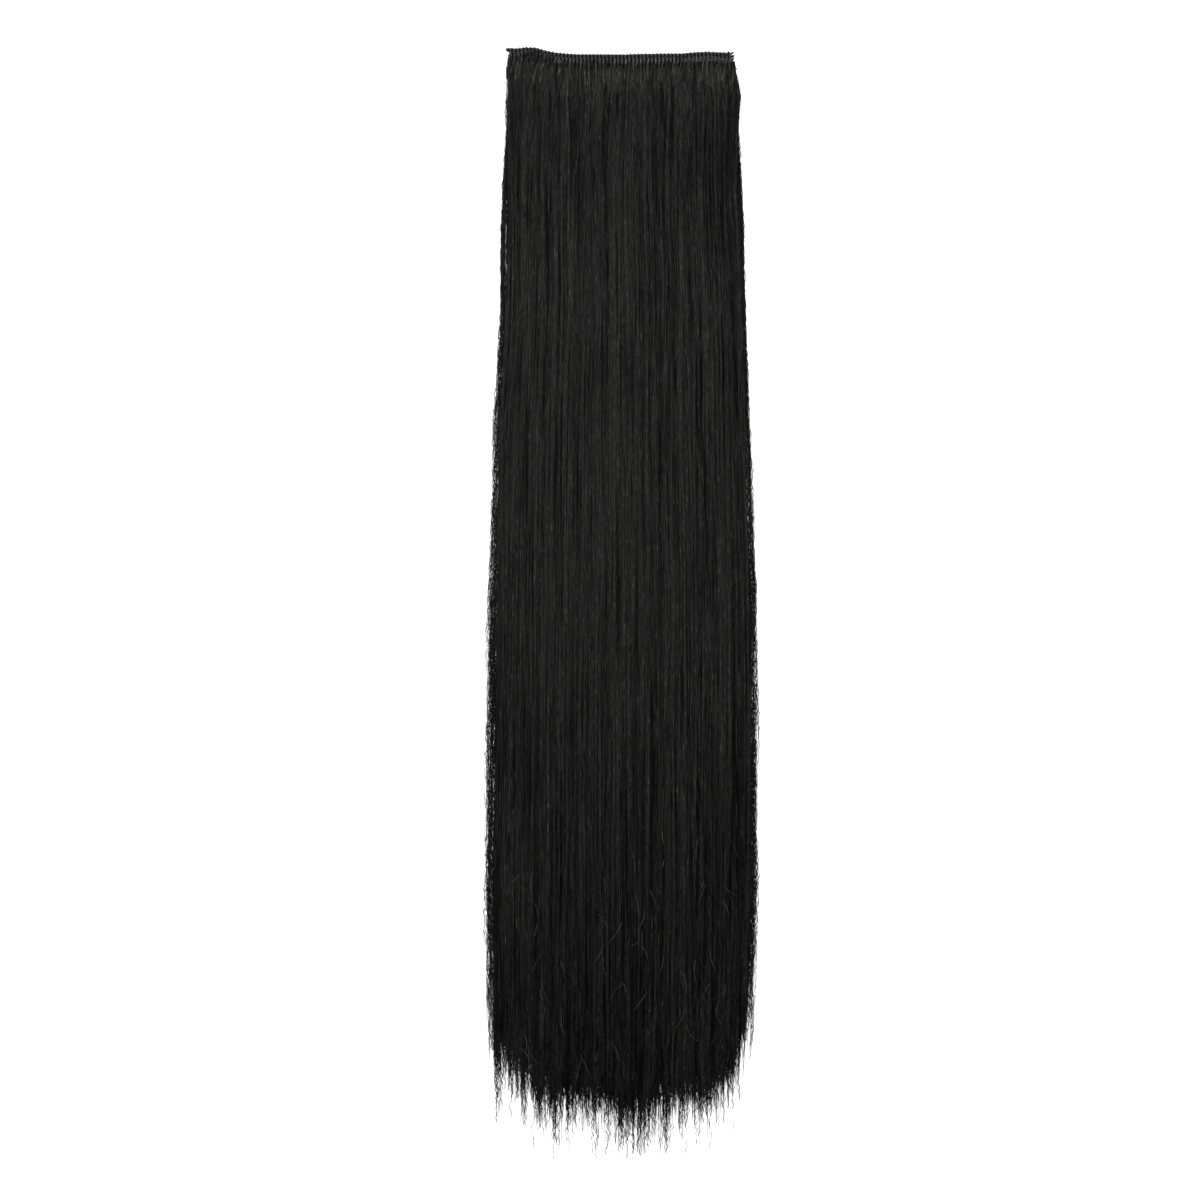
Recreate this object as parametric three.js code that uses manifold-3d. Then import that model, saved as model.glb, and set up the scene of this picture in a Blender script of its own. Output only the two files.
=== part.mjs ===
// A straight black hair extension, laid out flat: two sewn wefts of hair, one over the other,
// with two snap clips under the head.
// Millimetres. +X runs across the hair, +Y along it towards the sewn head, +Z up from the surface
// that it lies on. The origin is under the middle of the whole piece, on that surface.

import * as THREE from "three";
import { mergeVertices } from "three/addons/utils/BufferGeometryUtils.js";
import Module from "manifold-3d";

const wasm = await Module();
wasm.setup();

// Driving sizes
const fallLength = 600; // top of the head to the longest tip
const fallWidth = 145; // the hair at its widest
const hairDepth = 7.6; // both layers together, at their deepest
const clearance = 0.3; // between any two pieces
const layerGap = 0.5; // between the two layers of hair

const frontBandWidth = 122;
const backOverhang = 1.75; // how far the back weft reaches past the front one at each side
const bandHeight = 6.4; // from the folded edge to the open edge
const bandWall = 0.8;
const bandSlot = 1.0; // the pocket that grips the root of the hair
const foldDepth = 1.1; // solid hair between the folded edge and the pocket
const pleatPitch = 5.1; // one gathered tuft and its neighbour
const pleatDepth = 0.25;
const headSag = 3.8; // how far the front band's edge dips below its high corner

const rootInset = 0.9; // from the end of the pocket to the hair

const grooveShare = 0.55; // depth of the grooves between locks, as a share of the layer
const joinTolerance = 1e-4; // where neighbouring locks share a corner
const meander = 0.16; // how far a groove wanders to each side, as a share of a lock's width
const wanderTurn = 1.1; // turn of the wandering from one section to the next, in radians
const goldenAngle = Math.PI * (3 - Math.sqrt(5)); // spreads the locks' wandering and their ends
const rootSwell = 0.8; // how much a layer gains just below the bands
const rootSwellDrop = 3; // from the back band's open edge to that place
const rootLock = 0.2; // what the locks stand proud of it there
const tipWidth = 1.0;
const tipDepth = 0.7;
const tipLift = 0.6; // the front locks' tips over the surface
const tipRagged = 5; // how unevenly neighbouring locks end
const frontLocks = 25;
const backLocks = 17;
const backShort = 22; // how much sooner the back layer's tips end

const clipLength = 27;
const clipHeight = 9.5;
const clipSheet = 0.8;
const clipArch = 1.8; // rise of the bent clip's middle over its two ends
const clipCorner = 3.2;
const clipSlot = 1.3;
const clipSlotLength = 17;
const clipTongue = 3.4; // the strip left between the two slots
const clipEyelet = 0.7; // radius of a sewing hole
const clipInset = 1.6; // from a clip's end to its sewing hole
const clipMargin = 2.75; // from the end of the back band to the clip
const clipLap = 6.0; // how much of a clip's height the back band covers
const archFacets = 9; // an odd count leaves a flat facet at the top of the arch
const archSpare = 1.15; // how far the bent strip runs past the clip's ends before it is cut
const cornerFacets = 3;

// What follows from the sizes above. The floors are heights over the surface.
const backBandWidth = frontBandWidth + 2 * backOverhang;
const backDrop = headSag + bandHeight + clearance; // the back band lies just below the front one
const bandThickness = 2 * bandWall + bandSlot;
const rootDepth = bandSlot - 2 * clearance; // the hair where it is pressed flat in the pocket
const backBandFloor = clipArch + clipSheet + clearance;
const frontRootFloor = backBandFloor + bandThickness + clearance; // it passes over the back band
const frontBandFloor = frontRootFloor - clearance - bandWall;
const backRootFloor = backBandFloor + bandWall + clearance;
const headTop = fallLength / 2;

// How far the front band's edge lies below its highest point.
// across: -1 at the left end, 1 at the right end. dip: share of headSag.
const headEdge = [
  { across: -1.0, dip: 0.1 },
  { across: -0.93, dip: 0.15 },
  { across: -0.85, dip: 0.0 },
  { across: -0.77, dip: 0.03 },
  { across: -0.68, dip: 0.45 },
  { across: -0.59, dip: 0.74 },
  { across: -0.5, dip: 0.88 },
  { across: -0.4, dip: 0.98 },
  { across: 0.04, dip: 1.0 },
  { across: 0.18, dip: 0.92 },
  { across: 0.53, dip: 0.86 },
  { across: 0.66, dip: 0.67 },
  { across: 0.75, dip: 0.64 },
  { across: 0.9, dip: 0.71 },
  { across: 1.0, dip: 0.8 },
];

// The fall below the bands. along: share of fallLength from the head. spread: how far the width has
// gone from the band's to fallWidth. under, seam and top: shares of hairDepth, of the underside, the
// parting between the two layers and the upper side, at the middle of the fall. doming: how far the
// hair has left the head's flat form. follow: how much of the head's uneven edge it still follows.
const fallSections = [
  { along: 0.055, spread: 0.03, under: 0.12, seam: 0.55, top: 0.97, doming: 0.3, follow: 0.4 },
  { along: 0.1, spread: 0.06, under: 0.0, seam: 0.46, top: 1.0, doming: 0.7, follow: 0.1 },
  { along: 0.17, spread: 0.18, under: 0.0, seam: 0.43, top: 0.98, doming: 1.0, follow: 0.0 },
  { along: 0.3, spread: 0.42, under: 0.0, seam: 0.42, top: 0.93, doming: 1.0, follow: 0.0 },
  { along: 0.45, spread: 0.82, under: 0.0, seam: 0.41, top: 0.87, doming: 1.0, follow: 0.0 },
  { along: 0.62, spread: 0.94, under: 0.0, seam: 0.4, top: 0.78, doming: 1.0, follow: 0.0 },
  { along: 0.76, spread: 1.0, under: 0.0, seam: 0.37, top: 0.68, doming: 1.0, follow: 0.0 },
  { along: 0.82, spread: 0.9, under: 0.0, seam: 0.33, top: 0.6, doming: 1.0, follow: 0.0 },
];

// Where the combed tips end. across: -1 to 1 over the fall's width.
// full: share of fallLength where the sheet stops. reach: share where the locks' tips end.
const tipEdge = [
  { across: -1.0, full: 0.87, reach: 0.935 },
  { across: -0.8, full: 0.89, reach: 0.952 },
  { across: -0.6, full: 0.905, reach: 0.972 },
  { across: -0.2, full: 0.91, reach: 0.968 },
  { across: 0.0, full: 0.918, reach: 0.99 },
  { across: 0.12, full: 0.92, reach: 1.0 },
  { across: 0.3, full: 0.912, reach: 0.978 },
  { across: 0.5, full: 0.908, reach: 0.965 },
  { across: 0.7, full: 0.9, reach: 0.956 },
  { across: 0.86, full: 0.885, reach: 0.948 },
  { across: 1.0, full: 0.865, reach: 0.915 },
];

// The end of both layers' sheets: its spread as above, and shares of hairDepth.
const endSpread = 0.79;
const endSeam = 0.2;
const endSheet = 0.07;
const endTop = 0.42;

const edgeShare = 0.3; // depth left at the sides of the fall, as a share of its middle
const edgeFullness = 3.2; // a higher power keeps the fall deep nearer to its sides

// The outer side of a lock between two grooves. at: share of its width. up: share of its height.
const lockProfile = [
  { at: 0.0, up: 0.0 },
  { at: 0.15, up: 0.66 },
  { at: 0.38, up: 1.0 },
  { at: 0.62, up: 1.0 },
  { at: 0.85, up: 0.66 },
  { at: 1.0, up: 0.0 },
];

// Reads one named column of a table at any place between its rows.
function readTable(rows, key, at, column) {
  if (at <= rows[0][key]) return rows[0][column];
  for (let i = 1; i < rows.length; i++) {
    if (at > rows[i][key]) continue;
    const share = (at - rows[i - 1][key]) / (rows[i][key] - rows[i - 1][key]);
    return THREE.MathUtils.lerp(rows[i - 1][column], rows[i][column], share);
  }
  return rows[rows.length - 1][column];
}

// A closed geometry through rings of points. Each ring runs anticlockwise when it is seen from the
// last ring, looking back at the first. caps: the triangles that close the last ring.
function loftRings(rings, caps) {
  const size = rings[0].length;
  const index = [];
  for (let r = 1; r < rings.length; r++) {
    for (let i = 0; i < size; i++) {
      const a = (r - 1) * size + i;
      const b = (r - 1) * size + ((i + 1) % size);
      index.push(a, b, b + size, a, b + size, a + size);
    }
  }
  const last = (rings.length - 1) * size;
  for (const [a, b, c] of caps) {
    index.push(c, b, a);
    index.push(last + a, last + b, last + c);
  }
  const geometry = new THREE.BufferGeometry().setFromPoints(rings.flat());
  geometry.setIndex(index);
  return geometry;
}

function toSolid(geometry) {
  const bare = geometry.clone();
  for (const name of ["normal", "uv"]) bare.deleteAttribute(name);
  const merged = mergeVertices(bare, 1e-4);
  return new wasm.Manifold(
    new wasm.Mesh({
      numProp: 3,
      vertProperties: merged.getAttribute("position").array,
      triVerts: new Uint32Array(merged.index.array),
    }),
  );
}

function toGeometry(solid) {
  const mesh = solid.getMesh();
  const geometry = new THREE.BufferGeometry();
  geometry.setAttribute("position", new THREE.BufferAttribute(mesh.vertProperties, 3));
  geometry.setIndex(new THREE.BufferAttribute(mesh.triVerts, 1));
  geometry.computeVertexNormals();
  return geometry;
}

// How far the edge of each band lies below the top of the head.
const frontEdge = (across) => headSag * readTable(headEdge, "across", across, "dip");
const backEdge = () => backDrop;

// A band: a strip of hair folded over and sewn, with a pocket along its open edge. Its section is
// a U lying on its side, and each second column is drawn in between two gathered tufts.
function makeBand(width, edgeAt, floor) {
  const pleats = Math.round(width / pleatPitch);
  const rings = [];
  for (let i = 0; i <= 2 * pleats; i++) {
    const across = i / pleats - 1;
    const drawn = i % 2 === 0 ? pleatDepth : 0;
    const edge = headTop - edgeAt(across);
    const top = edge - drawn;
    const open = edge - bandHeight;
    const low = floor + drawn;
    const high = floor + bandThickness - drawn;
    const pocketLow = floor + bandWall;
    const pocketHigh = pocketLow + bandSlot;
    const pocketEnd = edge - foldDepth;
    const rounding = bandThickness / 4;
    const section = [
      [open, low],
      [top - rounding, low],
      [top, low + rounding],
      [top, high - rounding],
      [top - rounding, high],
      [open, high],
      [open, pocketHigh],
      [pocketEnd, pocketHigh],
      [pocketEnd, pocketLow],
      [open, pocketLow],
    ];
    rings.push(section.map(([y, z]) => new THREE.Vector3((across * width) / 2, y, z)));
  }
  const outline = rings[0].map((point) => new THREE.Vector2(point.y, point.z));
  return loftRings(rings, THREE.ShapeUtils.triangulateShape(outline, []));
}

// The share of the middle's depth that the hair has towards its sides. The dome grows with how far
// a section lies from the flat head.
function domeAt(across, doming) {
  const full = edgeShare + (1 - edgeShare) * (1 - Math.abs(across) ** edgeFullness);
  return 1 - doming * (1 - full);
}

// The stations of one layer of hair, from its root to the place where its locks part. Each gives
// the drop from the top of the head, the half width, and three heights: inner on the side of the
// other layer, groove at the bottom of the grooves, and outer at the crowns of the locks.
function layerStations(layer) {
  const { side } = layer;
  const [rootInner, rootOuter] = side > 0 ? [0, rootDepth] : [rootDepth, 0];
  const inner = layer.rootFloor + rootInner;
  const pressed = layer.rootFloor + rootOuter;
  const swollen = pressed + side * rootSwell;
  const atHead = (drop, groove, outer) => ({
    dropAt: (across) => drop + layer.edgeAt(across),
    halfWidth: layer.bandWidth / 2 - clearance,
    heightsAt: () => ({ inner, groove, outer }),
  });
  const swellDrop = backDrop + bandHeight + rootSwellDrop - layer.edgeDrop;
  const stations = [
    atHead(foldDepth + rootInset, pressed, pressed),
    atHead(bandHeight + clearance, pressed, pressed),
    atHead(swellDrop, swollen, swollen + side * rootLock),
  ];
  for (const row of fallSections) {
    stations.push({
      dropAt: (across) => row.along * fallLength + row.follow * (layer.edgeAt(across) - layer.edgeDrop),
      halfWidth: THREE.MathUtils.lerp(layer.bandWidth, fallWidth, row.spread) / 2,
      heightsAt: (across) => {
        const scale = hairDepth * domeAt(across, row.doming);
        const seam = row.seam * scale + (side * layerGap) / 2;
        const crown = (side > 0 ? row.top : row.under) * scale;
        return { inner: seam, groove: THREE.MathUtils.lerp(crown, seam, grooveShare), outer: crown };
      },
    });
  }
  stations.push({
    dropAt: (across) => readTable(tipEdge, "across", across, "full") * fallLength - layer.short,
    halfWidth: THREE.MathUtils.lerp(layer.bandWidth, fallWidth, endSpread) / 2,
    heightsAt: (across) => {
      const scale = hairDepth * domeAt(across, 1);
      const seam = endSeam * scale + (side * layerGap) / 2;
      const crown = side > 0 ? endTop * scale : 0;
      return { inner: seam, groove: seam + side * endSheet * scale, outer: crown };
    },
  });
  return stations;
}

// A lock's closed outline at a station: its outer side from groove to groove, then its inner side.
// edges: where its two grooves lie, as shares of the half width.
function lockOutline(station, edges) {
  const corner = (across, heightOf) =>
    new THREE.Vector3(
      across * station.halfWidth,
      headTop - station.dropAt(across),
      heightOf(station.heightsAt(across)),
    );
  const outer = lockProfile.map(({ at, up }) =>
    corner(THREE.MathUtils.lerp(...edges, at), (height) =>
      THREE.MathUtils.lerp(height.groove, height.outer, up),
    ),
  );
  return [...outer, corner(edges[1], (height) => height.inner), corner(edges[0], (height) => height.inner)];
}

// A lock's outline at its narrow tip, near the surface. number: the lock's place from the left.
function tipOutline(layer, station, edges, number) {
  const middle = (edges[0] + edges[1]) / 2;
  const x = middle * (station.halfWidth - tipWidth / 2);
  const ragged = tipRagged * (1 - middle ** 2) * Math.sin(goldenAngle * number);
  const reach = readTable(tipEdge, "across", middle, "reach") * fallLength - layer.short - ragged;
  const [inner, outer] = layer.side > 0 ? [tipLift, tipLift + tipDepth] : [tipDepth / 2, 0];
  const corner = (at, up) =>
    new THREE.Vector3(
      x + (at - 0.5) * tipWidth,
      headTop - reach,
      THREE.MathUtils.lerp(inner, outer, up),
    );
  return [...lockProfile.map(({ at, up }) => corner(at, 0.4 + 0.6 * up)), corner(1, 0), corner(0, 0)];
}

// One layer of hair as one closed skin. Its locks share their grooves down to the last station, and
// run on from there as separate tips. The root is a flat sheet that fits the pocket of its band.
function makeHair(layer) {
  const stations = layerStations(layer);
  const corners = lockProfile.length + 2;
  const wander = (groove, station) => {
    const place = (2 * groove) / layer.locks - 1;
    const swing = Math.sin(goldenAngle * groove + wanderTurn * station);
    return place + (2 / layer.locks) * meander * (1 - place ** 4) * swing;
  };
  const points = [];
  const index = [];
  const face = (a, b, c) => index.push(...(layer.side > 0 ? [c, b, a] : [a, b, c]));
  for (let lock = 0; lock < layer.locks; lock++) {
    const edgesAt = (row) => [wander(lock, row), wander(lock + 1, row)];
    const outlines = stations.map((station, row) => lockOutline(station, edgesAt(row)));
    const last = stations.length - 1;
    outlines.push(tipOutline(layer, stations[last], edgesAt(last), lock));
    const first = points.length;
    points.push(...outlines.flat());
    for (let row = 0; row <= last; row++) {
      for (let i = 0; i < corners; i++) {
        const right = i === lockProfile.length - 1 && lock < layer.locks - 1;
        const left = i === corners - 1 && lock > 0;
        if ((left || right) && row < last) continue; // inside the skin, between two locks
        const a = first + row * corners + i;
        const b = first + row * corners + ((i + 1) % corners);
        face(a, b, b + corners);
        face(a, b + corners, a + corners);
      }
    }
    const tip = first + (last + 1) * corners;
    for (let i = 0; i < corners - 2; i++) {
      face(first + i + 1, first + i, first + corners - 1);
      face(tip + i, tip + i + 1, tip + corners - 1);
    }
  }
  const skin = new THREE.BufferGeometry().setFromPoints(points);
  skin.setIndex(index);
  return mergeVertices(skin, joinTolerance);
}

function roundedRectangle(length, height, corner) {
  const x = length / 2 - corner;
  const y = height / 2 - corner;
  const shape = new THREE.Shape();
  shape.absarc(x, y, corner, 0, Math.PI / 2);
  shape.absarc(-x, y, corner, Math.PI / 2, Math.PI);
  shape.absarc(-x, -y, corner, Math.PI, 1.5 * Math.PI);
  shape.absarc(x, -y, corner, 1.5 * Math.PI, 2 * Math.PI);
  return shape;
}

function slotHole(length, height, y) {
  const hole = new THREE.Path();
  const x = (length - height) / 2;
  hole.absarc(x, y, height / 2, -Math.PI / 2, Math.PI / 2);
  hole.absarc(-x, y, height / 2, Math.PI / 2, 1.5 * Math.PI);
  return hole;
}

// A snap clip in its closed state, as one bent sheet with two slots and a sewing hole at each end.
// It is the arched strip of the sheet, cut to the clip's outline.
function makeClip() {
  const radius = (clipLength ** 2 / 4 + clipArch ** 2) / (2 * clipArch);
  const centre = clipArch - radius;
  const spread = Math.asin(clipLength / 2 / radius) * archSpare;
  const arc = (reach) =>
    Array.from({ length: archFacets + 1 }, (_, i) => {
      const turn = THREE.MathUtils.lerp(-spread, spread, i / archFacets);
      return new THREE.Vector2(reach * Math.sin(turn), centre + reach * Math.cos(turn));
    });
  const side = new THREE.Shape([...arc(radius), ...arc(radius + clipSheet).reverse()]);
  const strip = new THREE.ExtrudeGeometry(side, { depth: 2 * clipHeight, bevelEnabled: false });
  strip.rotateX(Math.PI / 2).translate(0, clipHeight, 0);

  const outline = roundedRectangle(clipLength, clipHeight, clipCorner);
  const slotOffset = (clipTongue + clipSlot) / 2;
  for (const y of [-slotOffset, slotOffset]) outline.holes.push(slotHole(clipSlotLength, clipSlot, y));
  for (const end of [-1, 1]) {
    const hole = new THREE.Path();
    hole.absarc(end * (clipLength / 2 - clipInset), 0, clipEyelet, 0, 2 * Math.PI);
    outline.holes.push(hole);
  }
  const rise = clipArch + 2 * clipSheet;
  const cutter = new THREE.ExtrudeGeometry(outline, {
    depth: 2 * rise,
    curveSegments: cornerFacets,
    bevelEnabled: false,
  });
  cutter.translate(0, 0, -rise);
  const clip = toSolid(strip).intersect(toSolid(cutter));
  return toGeometry(clip).translate(0, 0, -clip.boundingBox().min[2]);
}

const hairMaterial = new THREE.MeshStandardMaterial({ color: 0x1b1a1a, roughness: 0.5, metalness: 0 });
const bandMaterial = new THREE.MeshStandardMaterial({ color: 0x222020, roughness: 0.6, metalness: 0 });
const clipMaterial = new THREE.MeshStandardMaterial({ color: 0x111111, roughness: 0.35, metalness: 0.6 });

const frontLayer = {
  side: 1,
  locks: frontLocks,
  bandWidth: frontBandWidth,
  edgeDrop: 0,
  edgeAt: frontEdge,
  rootFloor: frontRootFloor,
  short: 0,
};
const backLayer = {
  side: -1,
  locks: backLocks,
  bandWidth: backBandWidth,
  edgeDrop: backDrop,
  edgeAt: backEdge,
  rootFloor: backRootFloor,
  short: backShort,
};

const hairExtension = new THREE.Group();

function addPiece(name, geometry, material) {
  const mesh = new THREE.Mesh(geometry, material);
  mesh.name = name;
  hairExtension.add(mesh);
  return mesh;
}

addPiece("front_band", makeBand(frontBandWidth, frontEdge, frontBandFloor), bandMaterial);
addPiece("back_band", makeBand(backBandWidth, backEdge, backBandFloor), bandMaterial);
addPiece("front_hair", makeHair(frontLayer), hairMaterial);
addPiece("back_hair", makeHair(backLayer), hairMaterial);

const clipMiddle = headTop - backDrop - bandHeight + clipLap - clipHeight / 2;
const clipAway = backBandWidth / 2 - clipMargin - clipLength / 2;
addPiece("clip_left", makeClip(), clipMaterial).position.set(-clipAway, clipMiddle, 0);
addPiece("clip_right", makeClip(), clipMaterial).position.set(clipAway, clipMiddle, 0);

export default hairExtension;
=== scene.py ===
# %% [markdown]
# # A straight black hair extension, laid out flat
#
# The real thing is a doubled weft: two strips of hair, each sewn along its head, one on top of the
# other, with two snap clips under the head. It lies on a white table with its hair combed straight
# towards the tips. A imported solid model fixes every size. This script loads that model as a frame
# and dresses it with strands, stitches and thread.

# %% Load the frame
import math

import bpy
import numpy as np
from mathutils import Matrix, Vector


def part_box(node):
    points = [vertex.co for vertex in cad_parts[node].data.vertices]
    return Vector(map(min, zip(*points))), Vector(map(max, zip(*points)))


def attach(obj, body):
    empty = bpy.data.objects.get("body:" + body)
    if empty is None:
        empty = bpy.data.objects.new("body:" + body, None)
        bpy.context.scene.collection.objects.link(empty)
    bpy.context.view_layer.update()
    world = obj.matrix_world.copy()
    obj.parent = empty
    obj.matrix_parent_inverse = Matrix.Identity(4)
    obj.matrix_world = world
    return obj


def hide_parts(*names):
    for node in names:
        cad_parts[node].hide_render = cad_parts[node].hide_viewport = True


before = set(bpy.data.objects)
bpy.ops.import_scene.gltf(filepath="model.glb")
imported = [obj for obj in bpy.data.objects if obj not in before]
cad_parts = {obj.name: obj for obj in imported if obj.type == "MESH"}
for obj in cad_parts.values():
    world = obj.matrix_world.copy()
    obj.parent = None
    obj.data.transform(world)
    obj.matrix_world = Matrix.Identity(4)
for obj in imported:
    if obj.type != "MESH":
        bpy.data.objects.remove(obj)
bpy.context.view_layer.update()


def add_object(name, data):
    made = bpy.data.objects.new(name, data)
    bpy.context.scene.collection.objects.link(made)
    return made


# %% [markdown]
# ## Sizes
#
# All lengths in this script are in millimetres until a mesh is made, because a weft is a thing of
# millimetres. X runs across the hair, Y along it towards the sewn head, Z up from the table. A place
# on the hair is given by two numbers: its drop from the top of the head, and how far it lies across,
# from -1 at the left side to 1 at the right side.

# %% Sizes of the weft
mm = 0.001
fall_length = 600.0
head_top = fall_length / 2


def box_mm(node):
    return [np.array(corner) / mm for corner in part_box(node)]


front_band_low, front_band_high = box_mm("front_band")
back_band_low, back_band_high = box_mm("back_band")
front_hair_high = box_mm("front_hair")[1]
half_fall = front_hair_high[0]
half_band = front_band_high[0]
half_back_band = back_band_high[0]
hair_depth = front_hair_high[2]
band_height = 6.4
head_sag = 3.8
back_drop = head_top - back_band_high[1]
print("half widths:", half_fall, half_band, "depth:", hair_depth, "back weft starts at", back_drop)

# %% [markdown]
# ## The shape of the combed hair
#
# Hair has no drawing, so its shape is kept in small tables, each a list of rows that are read at any
# place in between. They say how far the sides swing out, how high the upper and the lower side lie,
# how the sides fray, where the tips end, how the sewn edge dips, how the roots lean and where the
# hair is painted lighter or darker: painted sheen near the head, painted shade towards the tips.

# %% Tables of the fall
# drop (share of fall_length), left and right side (shares of half_fall)
fall_sides = np.array([
    (0.000, -0.846, 0.834), (0.012, -0.857, 0.834), (0.030, -0.864, 0.850), (0.048, -0.880, 0.864),
    (0.129, -0.887, 0.872), (0.183, -0.894, 0.887), (0.237, -0.894, 0.909), (0.291, -0.916, 0.924),
    (0.345, -0.946, 0.938), (0.399, -0.946, 0.946), (0.426, -0.961, 0.961), (0.493, -0.983, 0.990),
    (0.588, -0.994, 0.990), (0.750, -0.997, 0.990), (0.804, -0.997, 0.983), (0.858, -0.991, 0.961),
    (0.885, -0.988, 0.955), (0.912, -0.985, 0.945), (0.960, -0.975, 0.940), (1.000, -0.970, 0.935),
])
# drop, upper side of the front layer, parting between the layers, lower side of the back layer
# (shares of hair_depth at the middle), and how far the section has become a dome
fall_depths = np.array([
    (0.003, 0.815, 0.760, 0.540, 0.0), (0.011, 0.815, 0.760, 0.540, 0.0),
    (0.033, 0.950, 0.760, 0.430, 0.1), (0.055, 0.970, 0.550, 0.120, 0.3),
    (0.100, 1.000, 0.460, 0.000, 0.7), (0.170, 0.980, 0.430, 0.000, 1.0),
    (0.300, 0.930, 0.420, 0.000, 1.0), (0.450, 0.870, 0.410, 0.000, 1.0),
    (0.620, 0.780, 0.400, 0.000, 1.0), (0.760, 0.680, 0.370, 0.000, 1.0),
    (0.820, 0.600, 0.330, 0.000, 1.0), (0.910, 0.420, 0.200, 0.000, 1.0),
    (0.960, 0.260, 0.100, 0.000, 1.0), (1.000, 0.170, 0.050, 0.000, 1.0),
])
# drop (mm), how far the full fall stays inside the left and the right side line (mm), and how far
# the loose hairs beside it do
fray = np.array([
    (0.0, 0.5, 2.1, 0.0, 0.0), (8.0, 0.5, 2.1, 0.0, 0.0), (12.6, 0.0, 1.2, -0.6, 0.0),
    (14.5, 0.2, 1.4, -0.5, 0.0), (18.0, 0.9, 0.3, 0.0, -0.5), (25.0, 1.8, -0.4, 1.2, -0.3),
    (45.0, 2.8, 0.3, 1.9, 0.0), (70.0, 2.9, 1.0, 0.6, -1.0), (95.0, 2.7, 1.2, 0.0, -1.6),
    (120.0, 3.1, 0.8, 0.0, -1.0), (170.0, 2.6, 0.9, 0.0, -0.4), (196.0, 2.6, 1.3, 0.0, 0.0),
    (221.0, 2.6, 1.5, 0.0, -0.9), (247.0, 2.5, 1.5, 0.0, -0.9), (272.0, 3.2, 1.8, 0.3, 0.0),
    (297.0, 3.8, 2.4, 0.5, 0.0), (323.0, 3.8, 2.4, 0.4, 0.0), (400.0, 3.6, 2.2, 0.2, 0.0),
    (450.0, 2.6, 2.1, 0.0, -0.3), (600.0, 2.2, 2.0, 0.0, -0.5),
])
# across (share of half_fall), where half of the table shows between the tips (share of fall_length)
tip_line = np.array([
    (-0.968, 0.898), (-0.879, 0.914), (-0.789, 0.927), (-0.700, 0.931), (-0.611, 0.943),
    (-0.521, 0.948), (-0.164, 0.948), (-0.074, 0.954), (0.015, 0.966), (0.105, 0.963),
    (0.193, 0.959), (0.283, 0.950), (0.372, 0.945), (0.462, 0.952), (0.552, 0.941),
    (0.686, 0.942), (0.819, 0.940), (0.909, 0.920), (1.000, 0.886),
])
# across, dip of the sewn edge below its high corner (share of head_sag)
head_edge = np.array([
    (-1.00, 0.10), (-0.93, 0.15), (-0.85, 0.00), (-0.77, 0.03), (-0.68, 0.45), (-0.59, 0.74),
    (-0.50, 0.88), (-0.40, 0.98), (0.04, 1.00), (0.18, 0.92), (0.53, 0.86), (0.66, 0.67),
    (0.75, 0.64), (0.90, 0.71), (1.00, 0.80),
])
# across, how far a root stands to the right of the place where its hair comes to lie (mm)
root_lean = np.array([
    (-1.00, 0.2), (-0.93, 1.6), (-0.80, 2.8), (-0.60, 2.4), (-0.40, 1.2), (0.00, 0.4),
    (0.30, 0.0), (0.60, -0.7), (0.85, -0.8), (1.00, 0.0),
])
# drop (share of fall_length), how much lighter or darker than usual the strands are painted
# there: painted sheen near the head, painted shade towards the tips
painted_sheen_and_shade = np.array([
    (0.000, 0.14), (0.016, 0.11), (0.030, 0.12), (0.040, 0.04), (0.060, -0.05), (0.085, -0.05),
    (0.120, -0.03), (0.170, 0.05), (0.230, 0.07), (0.280, 0.04), (0.340, 0.04), (0.420, 0.07),
    (0.520, 0.08), (0.630, -0.01), (0.740, -0.05), (0.800, -0.12), (0.850, -0.19), (1.000, -0.16),
])


def read(table, column, at):
    return np.interp(at, table[:, 0], table[:, column])


print("rows:", len(fall_sides), len(fall_depths), len(tip_line), len(head_edge))

# %% Reading a place on the fall
edge_share = 0.3
edge_fullness = 3.2
edge_fade = 45.0  # drop over which the hair forgets the head's uneven edge


def edge_dip(across):
    return head_sag * read(head_edge, 1, across)


def side_to_side(across, drop):
    """X at a place across the fall."""
    left = read(fall_sides, 1, drop / fall_length) * half_fall
    right = read(fall_sides, 2, drop / fall_length) * half_fall
    return left + (right - left) * (across + 1) / 2


def across_at(x, drop):
    """The place across the fall at X, kept inside both sides."""
    left, right = side_to_side(-1.0, drop), side_to_side(1.0, drop)
    return np.clip(2 * (x - left) / (right - left) - 1, -1, 1)


def frayed(across, drop):
    """How far the full fall stays inside its side line (mm): more where the sides are frayed."""
    left, right = (np.interp(drop, fray[:, 0], fray[:, column]) for column in (1, 2))
    return np.where(across < 0, left, right)


def comb_wave(across, drop):
    """The slow wave that the comb leaves in the hair, widest under the head (mm)."""
    waves = sum(
        np.sin(2 * math.pi * (across * half_fall / aside + drop / along) + turn)
        for aside, along, turn in ((38, 47, 0.4), (-23, 31, 2.1), (61, -74, 4.4), (-15, 22, 5.3))
    )
    return waves / 4 * (0.25 + 1.0 * np.exp(-drop / 90))


def heights(across, drop):
    """Upper side, parting and lower side of the fall."""
    along = (drop - edge_dip(across) * np.exp(-drop / edge_fade)) / fall_length
    full = edge_share + (1 - edge_share) * (1 - np.abs(np.clip(across, -1, 1)) ** edge_fullness)
    dome = 1 - read(fall_depths, 4, along) * (1 - full)
    return [hair_depth * read(fall_depths, column, along) * dome for column in (1, 2, 3)]


print("heights at the middle, 100 mm down:", heights(np.zeros(1), np.full(1, 100.0)))

# %% [markdown]
# ## The camera
#
# The picture was taken from straight above, so the camera looks down with the head at the top of the
# picture. A long lens far away keeps the sides parallel, as in a catalogue picture.

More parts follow.
